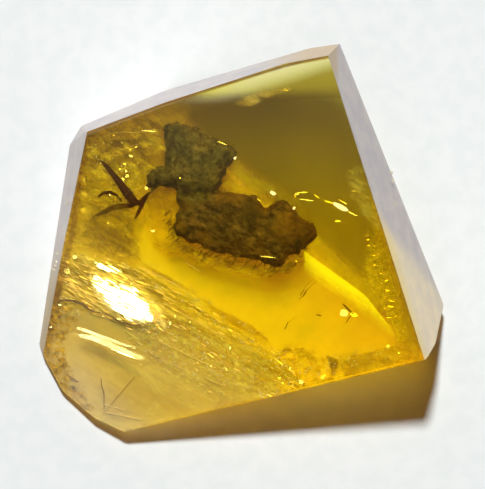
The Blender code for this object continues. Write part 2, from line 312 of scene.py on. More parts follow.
# Small flashes: across and down in pixels, length and width in pixels, turn in degrees
GLINTS = ((103, 316, 5, 3, 20), (119, 319, 6, 3, 25), (127, 321, 5, 3, 15), (51, 327, 4, 3, 0),
          (76, 334, 5, 4, 20), (60, 298, 6, 3, 10), (60, 305, 5, 2, 20), (157, 325, 5, 3, 30),
          (175, 316, 4, 3, 60), (190, 322, 3, 2, 0), (154, 338, 4, 3, 20), (170, 323, 3, 5, 0),
          (177, 340, 3, 2, 0), (198, 347, 4, 2, 50), (211, 366, 3, 3, 0), (221, 376, 4, 4, 0),
          (226, 369, 8, 3, 40), (236, 364, 4, 4, 20), (194, 373, 4, 2, 40), (230, 348, 2, 5, 10),
          (165, 366, 3, 2, 0), (254, 366, 4, 4, 0), (290, 368, 3, 3, 0), (279, 378, 5, 3, 0),
          (301, 382, 8, 5, 20), (323, 377, 8, 4, 140), (283, 383, 3, 2, 0), (344, 313, 11, 10, 0),
          (354, 315, 10, 6, 10), (388, 346, 4, 4, 0), (399, 353, 4, 2, 10), (296, 261, 3, 2, 0),
          (131, 156, 6, 3, 10), (125, 164, 4, 3, 0), (127, 176, 5, 5, 40), (126, 171, 4, 3, 80),
          (130, 150, 3, 3, 0), (136, 147, 3, 2, 0), (123, 179, 5, 3, 50), (120, 169, 3, 2, 0),
          (149, 131, 20, 2, 6), (114, 135, 5, 2, 150), (146, 188, 5, 4, 60), (153, 231, 6, 3, 10),
          (235, 158, 4, 4, 0), (273, 193, 8, 5, 30), (185, 202, 4, 3, 0), (277, 230, 3, 3, 0),
          (222, 143, 13, 1.2, 20), (257, 199, 13, 1, 28), (268, 257, 22, 1.2, 5), (180, 178, 3, 2, 0),
          (108, 223, 3, 3, 0), (110, 195, 3, 2, 0), (67, 271, 8, 8, 0), (75, 257, 6, 5, 20),
          (66, 204, 3, 4, 0), (294, 208, 4, 4, 40), (297, 194, 6, 2, 10), (81, 148, 3, 5, 0),
          (341, 207, 24, 7, 26), (353, 214, 14, 2, 24), (329, 202, 12, 2, 18), (343, 202, 12, 1.4, 30),
          (302, 192.5, 15, 1.4, -3), (317, 196.5, 8, 1.3, 35), (307, 200, 19, 1.3, 8),
          (295, 196, 4, 1.3, 80), (388, 175, 5, 3, 70), (390, 182, 6, 2, 60), (391, 206, 7, 1.5, 65),
          (354, 191, 8, 1.0, 5), (338, 221, 8, 2, 0), (286, 90, 5, 2, 20), (324, 59, 4, 2, 0))
# The wide glints at the upper right lie just below the top facet
SHALLOW_CORNER = (225, 222)
SHALLOW_WIDTH = 3.5
COMB_START = (369.0, 234.0)
COMB_RUN = (25.0, 88.0)
SLIVER_FIELD = ((52.0, 296.0), (252.0, 398.0))
FLASH_CORE = (118.0, 292.0)
FLASH_CORE_SIZE = (55.0, 34.0)


def feed(node, inputs):
    """Link sockets to a node's inputs, and set all other values on them."""
    for name, value in inputs.items():
        if isinstance(value, bpy.types.NodeSocket):
            node.id_data.links.new(value, node.inputs[name])
        elif node.inputs[name].type == "RGBA":
            node.inputs[name].default_value = (*value, 1.0)
        else:
            node.inputs[name].default_value = value


def add_node(tree, kind, inputs=None, **settings):
    node = tree.nodes.new(kind)
    for name, value in settings.items():
        setattr(node, name, value)
    feed(node, inputs or {})
    return node


def new_material(name):
    material = bpy.data.materials.new(name)
    material.use_nodes = True
    return material, material.node_tree


def new_tree(name, kind, inputs, outputs):
    """A node group, with the kinds of its inputs and outputs by their names."""
    tree = bpy.data.node_groups.new(name, kind)
    for direction, sockets in (("INPUT", inputs), ("OUTPUT", outputs)):
        for label, socket_kind in sockets.items():
            tree.interface.new_socket(label, in_out=direction, socket_type="NodeSocket" + socket_kind)
    return tree, add_node(tree, "NodeGroupInput").outputs, add_node(tree, "NodeGroupOutput")


def worked(operation, first, second):
    """The result of a sum on two sockets or numbers."""
    socket = first if isinstance(first, bpy.types.NodeSocket) else second
    return add_node(socket.id_data, "ShaderNodeMath", {0: first, 1: second}, operation=operation).outputs[0]


def plus(first, second):
    return worked("ADD", first, second)


def minus(first, second):
    return worked("SUBTRACT", first, second)


def larger(first, second):
    return worked("MAXIMUM", first, second)


def smaller(first, second):
    return worked("MINIMUM", first, second)


def times(first, *others):
    for value in others:
        first = worked("MULTIPLY", first, value)
    return first


def ramp(value, start, end, low=0.0, high=1.0):
    """A smooth step from one value to another between two limits."""
    limits = {"From Min": start, "From Max": end, "To Min": low, "To Max": high}
    return add_node(value.id_data, "ShaderNodeMapRange", {"Value": value, **limits},
                    interpolation_type="SMOOTHSTEP").outputs[0]


def blended(share, first, second):
    """A colour between two colours or sockets."""
    return add_node(share.id_data, "ShaderNodeMix", {"Factor": share, "A": first, "B": second},
                    data_type="RGBA").outputs["Result"]


def grainy(tree, place, scale, detail, roughness=0.5):
    return add_node(tree, "ShaderNodeTexNoise", {
        "Vector": place, "Scale": scale, "Detail": detail, "Roughness": roughness}).outputs["Fac"]


def named_mask(tree, name):
    return add_node(tree, "ShaderNodeAttribute", attribute_name=name).outputs["Fac"]


def add_object(name, mesh):
    piece = bpy.data.objects.new(name, mesh)
    bpy.context.scene.collection.objects.link(piece)
    return piece


def object_from(bm, name):
    mesh = bpy.data.meshes.new(name)
    bm.to_mesh(mesh)
    bm.free()
    return add_object(name, mesh)


def baked(piece):
    """Turn a piece and its modifiers into a plain mesh."""
    depsgraph = bpy.context.evaluated_depsgraph_get()
    mesh = bpy.data.meshes.new_from_object(piece.evaluated_get(depsgraph))
    mesh.name = piece.name
    piece.modifiers.clear()
    piece.data = mesh
    return piece


def smooth(piece):
    for face in piece.data.polygons:
        face.use_smooth = True


def grind(bm, point, outward):
    """Cut off all that lies outside a plane, and close the cut."""
    every_part = bm.verts[:] + bm.edges[:] + bm.faces[:]
    cut = bmesh.ops.bisect_plane(bm, geom=every_part, dist=0.001 * MM, plane_co=point, plane_no=outward,
                                 clear_outer=True)
    rim = [part for part in cut["geom_cut"] if isinstance(part, bmesh.types.BMEdge)]
    if rim:
        bmesh.ops.edgeloop_fill(bm, edges=rim)


def facet_planes(*halves):
    """The planes of the ground facets, read from the hull of the two halves of the block."""
    bm = bmesh.new()
    for half in halves:
        bm.from_mesh(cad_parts[half].data)
    hull = bmesh.ops.convex_hull(bm, input=bm.verts)
    groups = []
    for face in hull["geom"]:
        if not isinstance(face, bmesh.types.BMFace):
            continue
        for group in groups:
            if group["facing"].dot(face.normal) > SAME_FACING:
                break
        else:
            group = {"facing": face.normal.copy(), "area": 0.0, "points": []}
            groups.append(group)
        group["area"] += face.calc_area()
        group["points"] += [vert.co.copy() for vert in face.verts]
    planes = []
    for group in groups:
        facing, points = group["facing"], group["points"]
        length = max((point - points[0]).length for point in points)
        if group["area"] / length > LEAST_FACET_WIDTH:
            reach = max(point.dot(facing) for point in points)
            sideways = facing.to_2d().normalized()
            back_left = -0.95 < sideways.x < -0.7 and sideways.y > 0.3
            planes.append((facing * (reach + CORNER_SWELL if back_left else reach), facing))
    bm.free()
    return planes


FACETS = facet_planes("amber_lower", "amber_upper")
TOP_PLACE, TOP_FACING = max(FACETS, key=lambda facet: facet[1].z)
EYE = Vector((*CAMERA_PLACE, CAMERA_HEIGHT)) * MM
LAMP_WAY = Vector((math.sin(LAMP_AZIMUTH) * math.cos(LAMP_ELEVATION),
                   math.cos(LAMP_AZIMUTH) * math.cos(LAMP_ELEVATION), math.sin(LAMP_ELEVATION)))


def refracted(ray):
    """The way that a ray from outside takes below the top facet."""
    slant = -ray.dot(TOP_FACING)
    ratio = 1.0 / AMBER_IOR
    return ratio * ray + (ratio * slant - math.sqrt(1.0 - ratio ** 2 * (1.0 - slant ** 2))) * TOP_FACING


def on_plane(px, py, place, facing):
    """The point of an inner plane that shows at a pixel of the photograph."""
    right = (px - PICTURE_MIDDLE[0]) * PIXEL * MM
    back = (PICTURE_MIDDLE[1] - py) * PIXEL * MM
    ray = Vector((right, back, -EYE.z)).normalized()
    entry = EYE + ray * ((TOP_PLACE - EYE).dot(TOP_FACING) / ray.dot(TOP_FACING))
    ray = refracted(ray)
    return entry + ray * ((place - entry).dot(facing) / ray.dot(facing))


def at_share(px, py, share):
    """The point seen at a pixel, at a share of the block's height: 0 at its foot, 1 on its top facet."""
    slope = Vector((-TOP_FACING.x, -TOP_FACING.y, 0.0)) / TOP_FACING.z
    facing = Vector((-slope.x * share, -slope.y * share, 1.0)).normalized()
    middle = TOP_PLACE.dot(TOP_FACING) / TOP_FACING.z
    return on_plane(px, py, Vector((0.0, 0.0, middle * share)), facing)


def flash_facing(place):
    """How an inner crack has to face to send the lamp's light to the camera."""
    to_eye = -refracted((place - EYE).normalized())
    to_lamp = -refracted(-LAMP_WAY)
    return (to_eye + to_lamp).normalized()


def is_inside(outline, px, py):
    inside = False
    for (ax, ay), (bx, by) in zip(outline, outline[1:] + outline[:1]):
        if (ay > py) != (by > py) and px < (bx - ax) * (py - ay) / (by - ay) + ax:
            inside = not inside
    return inside


def nearest_on(outline, px, py):
    """The nearest point of an outline, and how far off it is, in pixels."""
    best, least = (px, py), math.inf
    for (ax, ay), (bx, by) in zip(outline, outline[1:] + outline[:1]):
        run = ((bx - ax) ** 2 + (by - ay) ** 2) or 1.0
        along = min(1.0, max(0.0, ((px - ax) * (bx - ax) + (py - ay) * (by - ay)) / run))
        near = (ax + along * (bx - ax), ay + along * (by - ay))
        gap = math.hypot(near[0] - px, near[1] - py)
        if gap < least:
            best, least = near, gap
    return best, least


def cells(outline, step):
    """The grid cells that lie inside an outline seen in the photograph, by their corners."""
    left, right = min(p[0] for p in outline), max(p[0] for p in outline)
    low, high = min(p[1] for p in outline), max(p[1] for p in outline)
    for column in range(int((right - left) / step) + 1):
        for row in range(int((high - low) / step) + 1):
            px, py = left + (column + 0.5) * step, low + (row + 0.5) * step
            if is_inside(outline, px, py):
                yield [(left + (column + across) * step, low + (row + down) * step)
                       for across, down in ((0, 0), (0, 1), (1, 1), (1, 0))]


def pulled_in(place):
    """A place moved in until it lies inside the block, and whether it was far outside."""
    outside = False
    for point, outward in FACETS:
        beyond = (place - point).dot(outward) + INNER_MARGIN
        if beyond > 0.0:
            place = place - outward * beyond
            outside = outside or beyond > FAR_OUTSIDE
    return place, outside


def sheet(name, outline, place, step=2.0, fade=6.0, keep=lambda px, py: True):
    """A crack's face or a painted sheet: the cells inside an outline, each corner set by a place function.
    """
    bm = bmesh.new()
    inset = bm.verts.layers.float.new("inset")
    made = {}
    for corners in cells(outline, step):
        if not keep(*corners[0]) or all(pulled_in(place(px, py))[1] for px, py in corners):
            continue
        around = []
        for px, py in corners:
            key = (round(px, 3), round(py, 3))
            if key not in made:
                made[key] = bm.verts.new(pulled_in(place(px, py))[0])
                gap = nearest_on(outline, px, py)[1] if is_inside(outline, px, py) else 0.0
                made[key][inset] = min(1.0, gap / fade)
            around.append(made[key])
        bm.faces.new(around)
    bmesh.ops.recalc_face_normals(bm, faces=bm.faces)
    if sum(face.normal.z for face in bm.faces) < 0.0:
        bmesh.ops.reverse_faces(bm, faces=bm.faces)
    piece = object_from(bm, name)
    smooth(piece)
    return piece


def along_streaks(px, py):
    """How far a pixel lies along and across the streaks."""
    return (px * math.cos(STREAK_TURN) + py * math.sin(STREAK_TURN),
            -px * math.sin(STREAK_TURN) + py * math.cos(STREAK_TURN))


def rippled(share, depth, size, stretch=1.0):
    """A place function: a share of the block's height, with a rippled relief in mm."""
    def place(px, py):
        along, across = along_streaks(px, py)
        here = Vector((along / (size * stretch), across / size, 0.0))
        relief = depth * (noise.noise(here) + 0.5 * noise.noise(here * 2.3))
        return at_share(px, py, share) + Vector((0.0, 0.0, relief * MM))
    return place


def facing_the_lamp(px, py, share):
    """A place function: the plane through a pixel's point that sends the lamp's light to the camera."""
    middle = at_share(px, py, share)
    facing = flash_facing(middle)
    return lambda px, py: on_plane(px, py, middle, facing)


def wear(bm, edges, width, segments):
    bmesh.ops.bevel(bm, geom=edges, offset=width, segments=segments, affect="EDGES", clamp_overlap=True)


def clear_block():
    """The ground block with edges rounded by wear, its facets marked for the material."""
    bm = bmesh.new()
    bmesh.ops.create_cube(bm, size=BLANK_SIZE)
    for point, outward in FACETS:
        grind(bm, point, outward)
    upright = [edge for edge in bm.edges
               if all(abs(face.normal.z) < STEEP for face in edge.link_faces)
               and edge.link_faces[0].normal.dot(edge.link_faces[1].normal) > 0.6]
    wear(bm, upright, CORNER_WEAR, 5)
    crease = [edge for edge in bm.edges if min(face.normal.z for face in edge.link_faces) < FLAT_BELOW
              and FLAT_BELOW < max(face.normal.z for face in edge.link_faces) < SLANTED_BELOW]
    wear(bm, crease, CREASE_WEAR, 8)
    wear(bm, [edge for edge in bm.edges if edge.calc_face_angle() > SHARP_EDGE], EDGE_WEAR, 3)
    bmesh.ops.recalc_face_normals(bm, faces=bm.faces)
    layers = [bm.faces.layers.float.new(name) for name in MASKS]
    for face in bm.faces:
        facing = face.normal
        ground = abs(facing.z) < STEEP and facing.y >= -0.5
        dull_and_shaded = FLAT_BELOW < facing.z < SLANTED_BELOW
        worn_and_lit = 0.25 < facing.z < 0.88 and facing.y < -0.3
        marks = (ground, dull_and_shaded, facing.z > 0.9, facing.x > 0.6, facing.z < FLAT_BELOW, worn_and_lit)
        for layer, marked in zip(layers, marks):
            face[layer] = float(marked)
    return object_from(bm, "amber")


def let_light_through(surface, tint):
    """Give a surface a shadow that is only a tint, not a dark one."""
    tree = surface.id_data
    path = add_node(tree, "ShaderNodeLightPath")
    through = add_node(tree, "ShaderNodeBsdfTransparent", {"Color": tint})
    shade = add_node(tree, "ShaderNodeMixShader",
                     {0: path.outputs["Is Shadow Ray"], 1: surface, 2: through.outputs[0]})
    feed(tree.nodes["Material Output"], {"Surface": shade.outputs[0]})


def amber_material():
    """Clear and tinted, with painted shade below; satin where ground, on the brown line, and as painted
    sheen on the top and painted highlight on the front edge's wear; all limits are in mm.
    """
    material, tree = new_material("amber")
    place = add_node(tree, "ShaderNodeTexCoord").outputs["Object"]
    in_mm = add_node(tree, "ShaderNodeVectorMath", {0: place, "Scale": 1.0 / MM},
                     operation="SCALE").outputs[0]
    parts = add_node(tree, "ShaderNodeSeparateXYZ", {0: in_mm}).outputs
    x, y, z = parts["X"], parts["Y"], parts["Z"]
    cloud = grainy(tree, in_mm, 0.9, 4.0)
    ground, dull_and_shaded, top, right, foot, worn_and_lit = (named_mask(tree, name) for name in MASKS)

    # The band of light at the back, where the painted shade below is lifted and a painted glow lies on the
    # top, and the thin brown line along the top's back edge
    back = minus(y, times(x, 0.30))
    band = times(ramp(back, 7.0, 8.3), ramp(x, 5.7, 5.0), ramp(x, -3.4, 0.0))
    band_glow = times(ramp(back, 6.75, 7.8), ramp(x, 5.7, 4.9), ramp(x, -3.8, -0.8), ramp(y, 6.6, 7.1))
    gap = 1.0
    for reach, slope in BACK_EDGES:
        gap = smaller(gap, minus(reach, minus(y, times(x, slope))))
    edge_line = times(top, ramp(gap, 0.17, 0.07))

    # Painted shade seen through the slanted underside up to the crease: less under the band and to the
    # right, browner in a strip before it; and painted shade on part of the foot
    underside_shade = times(dull_and_shaded, minus(1.0, times(band, 0.75)), ramp(x, 1.0, 6.5, 0.96, 0.62))
    strip = times(ramp(y, 7.02, 7.28), minus(1.0, band), ramp(x, 0.6, 1.6))
    to_crease = plus(times(x, CREASE_FACING[0]), times(y, CREASE_FACING[1]))
    underside_shade = times(larger(underside_shade, times(dull_and_shaded, strip)), ramp(to_crease, CREASE_REACH, CREASE_REACH + 0.7))
    shaded = times(foot, ramp(y, 0.0, 5.0), ramp(x, -2.2, -3.8))
    below = blended(underside_shade, blended(shaded, WHITE, FOOT_SHADED),
                    blended(strip, UNDERSIDE_SHADE_OLIVE, UNDERSIDE_SHADE_BROWN))
    clear = tree.nodes["Principled BSDF"]
    feed(clear, {"Base Color": below, "Roughness": plus(times(dull_and_shaded, 0.3), times(ground, 0.25)),
                 "IOR": AMBER_IOR, "Transmission Weight": 1.0})

    # The ground bevels: lilac, warm at the left and the back, and a painted glow of the light through the
    # lower right bevel, cream and yellow near its inner edge
    right_low = times(right, ramp(minus(y, times(z, 0.69)), -2.5, -4.4))
    laid = add_node(tree, "ShaderNodeMapping", {
        "Vector": in_mm, "Rotation": (0.0, 0.0, BEVEL_TURN), "Scale": (1.7, 0.16, 1.0)}).outputs[0]
    lines = grainy(tree, laid, 1.0, 4.0)
    mottled = ramp(plus(times(cloud, 0.7), times(lines, 0.3)), 0.38, 0.62)
    cream = times(right_low, plus(0.72, times(mottled, 0.28)))
    tinted = blended(cream, blended(mottled, *BEVEL_LILACS), BEVEL_GLOW_CREAM)
    warm_left = times(ramp(x, -7.0, -7.6), ramp(y, 0.5, -3.0), 0.75)
    tinted = blended(warm_left, tinted, BEVEL_WARM_LEFT)
    warm_back = times(ramp(x, 0.5, 3.5), ramp(x, 5.0, 4.7), ramp(y, 7.5, 8.5), 0.8)
    tinted = blended(warm_back, tinted, BEVEL_WARM_BACK)
    tinted = blended(times(right_low, ramp(z, 5.0, 6.3)), tinted, BEVEL_INNER_GLOW)

    # The polished top: painted sheen, a painted glow on the band at its back, a grey painted sheen at its
    # lower left, and a painted highlight on the wear at its front edge
    to_corner = plus(x, y)
    grey_sheen = times(ramp(to_corner, -12.8, -15.5), ramp(x, -9.1, -8.3))
    topmost = blended(band_glow, TOP_SHEEN, blended(ramp(x, -2.0, 1.0), *BAND_GLOWS))
    tinted = blended(top, tinted, blended(grey_sheen, topmost, CORNER_GREY_SHEEN))
    # The front edge's wear takes a painted highlight in pale yellow
    tinted = blended(worn_and_lit, blended(edge_line, tinted, EDGE_BROWN), WORN_HIGHLIGHT)
    satin = add_node(tree, "ShaderNodeBsdfPrincipled", {"Roughness": 0.45, "Base Color": tinted})
    # The painted sheen's share on the top rises towards the back, most under the band of light, and towards
    # the lower left; the brown line takes a share too
    upper_right = plus(ramp(y, 0.3, 7.5, 0.004, 0.048), times(band_glow, 0.44))
    lower_left = plus(ramp(to_corner, -4.5, -10.0, 0.0, 0.045), times(grey_sheen, 0.07))
    sheen_and_line = larger(times(top, plus(upper_right, lower_left)), times(edge_line, 0.7))
    share = larger(plus(sheen_and_line, times(ground, 0.88)), times(worn_and_lit, 0.85))
    surface = add_node(tree, "ShaderNodeMixShader", {0: share, 1: clear.outputs[0], 2: satin.outputs[0]})
    let_light_through(surface.outputs[0], SHADOW_TINT)
    absorb = add_node(tree, "ShaderNodeVolumeAbsorption", {"Color": AMBER_TINT, "Density": AMBER_DEPTH})
    feed(tree.nodes["Material Output"], {"Volume": absorb.outputs[0]})
    return material


def clouding_group():
    """Two colours, a cover and a relief from one noise, which can run in streaks."""
    tree, given, result = new_tree(
        "clouding", "ShaderNodeTree",
        {"Light": "Color", "Dark": "Color", "Grain": "Float", "Along": "Float", "Spread": "Float",
         "Least Cover": "Float", "Most Cover": "Float"},
        {"Color": "Color", "Cover": "Float", "Relief": "Float"})
    place = add_node(tree, "ShaderNodeTexCoord").outputs["Object"]
    turned = add_node(tree, "ShaderNodeMapping", {
        "Vector": place, "Rotation": (0.0, 0.0, STREAK_TURN), "Scale": (1.0 / MM, 1.0 / MM, 1.0 / MM)})
    pull = add_node(tree, "ShaderNodeCombineXYZ", {"X": given["Along"], "Y": 1.0, "Z": 1.0})
    stretched = add_node(tree, "ShaderNodeVectorMath", {0: turned.outputs[0], 1: pull.outputs[0]},
                         operation="MULTIPLY")
    clouds, steps = [], []
    for lift in (0.0, 7.3):
        shifted = add_node(tree, "ShaderNodeVectorMath", {0: stretched.outputs[0], 1: (lift, lift, lift)},
                           operation="ADD")
        clouds.append(grainy(tree, shifted.outputs[0], given["Grain"], 5.0, 0.62))
        steps.append(ramp(clouds[-1], minus(0.5, given["Spread"]), plus(0.5, given["Spread"])))
    cover = add_node(tree, "ShaderNodeMapRange", {
        "Value": steps[1], "To Min": given["Least Cover"], "To Max": given["Most Cover"]})
    feed(result, {"Color": blended(steps[0], given["Dark"], given["Light"]),
                  "Cover": cover.outputs[0], "Relief": clouds[0]})
    return tree


def clouding(tree, light, dark, grain, along=1.0, spread=WIDE_SPREAD, cover=(1.0, 1.0)):
    inputs = {"Light": light, "Dark": dark, "Grain": grain, "Along": along, "Spread": spread,
              "Least Cover": cover[0], "Most Cover": cover[1]}
    return add_node(tree, "ShaderNodeGroup", inputs, node_tree=CLOUDING).outputs


def clouded_material(name, light, dark, grain=3.0, along=1.0, spread=CLOSE_SPREAD, cover=(1.0, 1.0),
                     roughness=0.5, metallic=0.0, relief=0.01, soft=True):
    """Two clouded colours; a thin cover ends in a soft or a broken edge."""
    material, tree = new_material(name)
    shader = tree.nodes["Principled BSDF"]
    cloud = clouding(tree, light, dark, grain, along, spread, cover)
    bump = add_node(tree, "ShaderNodeBump", {"Distance": relief * MM, "Height": cloud["Relief"]})
    feed(shader, {"Base Color": cloud["Color"], "Roughness": roughness, "Metallic": metallic,
                  "Normal": bump.outputs[0]})
    if cover[0] < 1.0:
        unevenness, start, end = SOFT_EDGE if soft else BROKEN_EDGE
        broken = times(minus(cloud["Relief"], 0.5), unevenness)
        edge = ramp(plus(named_mask(tree, "inset"), broken), start, end)
        feed(shader, {"Alpha": times(cloud["Cover"], edge)})
        let_light_through(shader.outputs[0], WHITE)
    return material


def plain_material(name, colour, roughness, metallic=0.0):
    material, tree = new_material(name)
    feed(tree.nodes["Principled BSDF"],
         {"Base Color": colour, "Roughness": roughness, "Metallic": metallic})
    return material


def insect_material():
    """Dark brown, greener on the thorax, and amber-soaked in a few thin places."""
    material = clouded_material("insect", *BODY_BROWNS, grain=3.8, along=0.5, spread=WIDE_SPREAD,
                                roughness=0.6, relief=0.10)
    tree = material.node_tree
    shader = tree.nodes["Principled BSDF"]
    brown = shader.inputs["Base Color"].links[0].from_socket
    patches = clouding(tree, *WIDE_PATCHES, 0.9)
    green = clouding(tree, *THORAX_GREENS, 3.0)
    colour = blended(named_mask(tree, "thorax"), brown, green["Color"])
    colour = blended(named_mask(tree, "rusty"), colour, RUST)
    colour = blended(named_mask(tree, "dark"), colour, DARK_BROWN)
    colour = add_node(tree, "ShaderNodeMix", {"Factor": 1.0, "A": colour, "B": patches["Color"]},
                      data_type="RGBA", blend_type="MULTIPLY").outputs["Result"]
    colour = blended(named_mask(tree, "soaked"), colour, SOAKED_BROWN)
    colour = blended(named_mask(tree, "limb"), colour, LEG_BROWN)
    feed(shader, {"Base Color": colour, "Specular IOR Level": 0.15})
    let_light_through(shader.outputs[0], INSECT_SHADOW)
    return material


def paper_material():
    material, tree = new_material("paper_floor")
    place = add_node(tree, "ShaderNodeTexCoord").outputs["Object"]
    colour = blended(ramp(grainy(tree, place, 1.1 / MM, 3.0), 0.35, 0.65), *PAPER_WHITES)
    feed(tree.nodes["Principled BSDF"], {"Base Color": colour, "Roughness": 0.9, "Specular IOR Level": 0.1})
    return material


def ragged(outline, reach):
    """An outline with a crumbling edge, a point about every few pixels."""
    points = []
    for (ax, ay), (bx, by) in zip(outline, outline[1:] + outline[:1]):
        count = max(1, round(math.hypot(bx - ax, by - ay) / RAGGED_STEP))
        for step in range(count):
            px, py = ax + (bx - ax) * step / count, ay + (by - ay) * step / count
            here = Vector((px * RAGGED_GRAIN, py * RAGGED_GRAIN, 1.7))
            points.append((px + reach * noise.noise(here),
                           py + reach * noise.noise(here + Vector((5.0, 9.0, 0.0)))))
    return tuple(points)


def lobe(bm, outline, crumble):
    """A rounded body whose outline shows as in the photograph, thickest in its middle."""
    outline = ragged(outline, crumble)
    reach = max(nearest_on(outline, *corners[0])[1] for corners in cells(outline, LOBE_STEP))
    sides = ({}, {})
    for corners in cells(outline, LOBE_STEP):
        for side, made in zip((1.0, -1.0), sides):
            around = []
            for px, py in corners:
                key = (round(px, 3), round(py, 3))
                if key not in made:
                    near, gap = nearest_on(outline, px, py)
                    if gap < LOBE_STEP or not is_inside(outline, px, py):
                        px, py, gap = near[0], near[1], 0.0
                    fullness = math.sqrt(1.0 - (1.0 - min(1.0, gap / reach)) ** 2)
                    rise = Vector((0.0, 0.0, side * LOBE_THICKNESS / 2.0 * fullness * MM))
                    made[key] = bm.verts.new(at_share(px, py, INSECT_SHARE) + rise)
                around.append(made[key])
            bm.faces.new(around if side < 0.0 else around[::-1])


def tube_between(bm, ring, following):
    """The side faces from one ring of corners to the next."""
    for corners in zip(ring, ring[1:] + ring[:1], following[1:] + following[:1], following):
        bm.faces.new(corners)


def leg(bm, route, widths):
    """A tapering limb along a route seen in the photograph."""
    middles = [at_share(px, py, INSECT_SHARE + LEG_RISE * min(1.0, index / 3.0))
               for index, (px, py) in enumerate(route)]
    rings = []
    for index, (middle, width) in enumerate(zip(middles, widths)):
        ahead = middles[min(index + 1, len(middles) - 1)] - middles[max(index - 1, 0)]
        turn = ahead.to_track_quat("Z", "Y").to_matrix().to_4x4()
        ring = bmesh.ops.create_circle(bm, segments=LEG_SIDES, radius=width * MM,
                                       matrix=Matrix.Translation(middle) @ turn)
        rings.append(list(ring["verts"]))
    for ring, following in zip(rings, rings[1:]):
        tube_between(bm, ring, following)
    bm.faces.new(rings[0][::-1])
    bm.faces.new(rings[-1])


def body_spots(marks):
    """Where marked spots lie in the body, and their sizes."""
    return [(at_share(px, py, INSECT_SHARE), size * PIXEL * MM) for px, py, size in marks]


def spotted(place, spots, swirl, most, steepness):
    """How much a place of the body belongs to a spot, seen from above."""
    return max(min(most, max(0.0, steepness - steepness * (place - spot).to_2d().length / (size * swirl)))
               for spot, size in spots)


def insect():
    """The crumbled body with its legs, its places marked for the material."""
    bm = bmesh.new()
    lobe(bm, THORAX_OUTLINE, THORAX_CRUMBLE)
    lobe(bm, ABDOMEN_OUTLINE, ABDOMEN_CRUMBLE)
    for route, widths in zip(LEG_ROUTES, LEG_WIDTHS):
        leg(bm, route, widths)
    bmesh.ops.remove_doubles(bm, verts=bm.verts, dist=0.005 * MM)
    bmesh.ops.recalc_face_normals(bm, faces=bm.faces)
    body = object_from(bm, "insect_body")
    whole = body.modifiers.new("whole", "REMESH")
    whole.mode = "VOXEL"
    whole.voxel_size = INSECT_GRAIN * MM
    baked(body)
    bm = bmesh.new()
    bm.from_mesh(body.data)
    thorax, soaked, limb, rusty, dark = (
        bm.verts.layers.float.new(name) for name in ("thorax", "soaked", "limb", "rusty", "dark"))
    front, rear = at_share(*THORAX_MIDDLE, INSECT_SHARE), at_share(*ABDOMEN_MIDDLE, INSECT_SHARE)
    soaked_spots, dark_spots, rusty_spots = map(body_spots, (SOAKED_SPOTS, DARK_SPOTS, RUSTY_SPOTS))
    lobes = [[tuple((at_share(px, py, INSECT_SHARE) / MM).to_2d()) for px, py in outline]
             for outline in (THORAX_OUTLINE, ABDOMEN_OUTLINE)]
    for vert in bm.verts:
        here = vert.co / MM
        chips = noise.voronoi(here * 1.9)[0]
        small = noise.voronoi(here * 4.5)[0]
        lump = (noise.noise(here * 1.1) * 0.14 + (chips[1] - chips[0] - 0.3) * 0.15
                + (small[1] - small[0] - 0.3) * 0.09 + noise.noise(here * 9.0) * 0.03)
        nearer = (vert.co - rear).length - (vert.co - front).length
        vert[thorax] = min(1.0, max(0.0, 0.5 + nearer / (1.2 * MM)))
        swirl = 1.0 + 0.5 * noise.noise(here * 2.0)
        vert[soaked] = spotted(vert.co, soaked_spots, swirl, 0.5, 1.0)
        vert[dark] = spotted(vert.co, dark_spots, swirl, 0.8, 1.4)
        vert[rusty] = spotted(vert.co, rusty_spots, swirl, 0.85, 1.5)
        gaps = [0.0 if is_inside(lobe_mm, here.x, here.y) else nearest_on(lobe_mm, here.x, here.y)[1]
                for lobe_mm in lobes]
        vert[limb] = min(1.0, max(0.0, min(gaps) / 0.25 - 0.4))
        vert.co += vert.normal * lump * (1.0 - 0.85 * vert[limb]) * (0.85 - 0.35 * vert[thorax]) * MM
    bm.to_mesh(body.data)
    bm.free()
    smooth(body)
    return body


def scatter_tree(name, turn, kind, inputs, **settings):
    """Scatter a small shape over a surface, each one of its own size, tilt and turn."""
    tree, given, result = new_tree(
        name, "GeometryNodeTree",
        {"Geometry": "Geometry", "Density": "Float", "Size": "Float", "Tilt": "Float", "Seed": "Int",
         "Material": "Material"},
        {"Geometry": "Geometry"})
    points = add_node(tree, "GeometryNodeDistributePointsOnFaces", {
        "Mesh": given["Geometry"], "Density": given["Density"], "Seed": given["Seed"]}).outputs
    least, most = (add_node(tree, "ShaderNodeCombineXYZ", {
        "X": times(given["Tilt"], sign), "Y": times(given["Tilt"], sign), "Z": turn * sign}).outputs[0]
        for sign in (-1.0, 1.0))
    turned = add_node(tree, "FunctionNodeRandomValue", {"Min": least, "Max": most, "Seed": given["Seed"]},
                      data_type="FLOAT_VECTOR")
    size = add_node(tree, "FunctionNodeRandomValue", {2: 0.35, 3: 1.0}, data_type="FLOAT")
    facing = add_node(tree, "FunctionNodeRotateRotation", {
        "Rotation": points["Rotation"], "Rotate By": turned.outputs[0]}, rotation_space="LOCAL")
    shape = add_node(tree, kind, inputs, **settings)
    placed = add_node(tree, "GeometryNodeInstanceOnPoints", {
        "Points": points["Points"], "Instance": shape.outputs[0], "Rotation": facing.outputs[0],
        "Scale": times(size.outputs[1], given["Size"])})
    real = add_node(tree, "GeometryNodeRealizeInstances", {0: placed.outputs[0]})
    dressed = add_node(tree, "GeometryNodeSetMaterial", {
        "Geometry": real.outputs[0], "Material": given["Material"]})
    feed(result, {"Geometry": dressed.outputs[0]})
    return tree


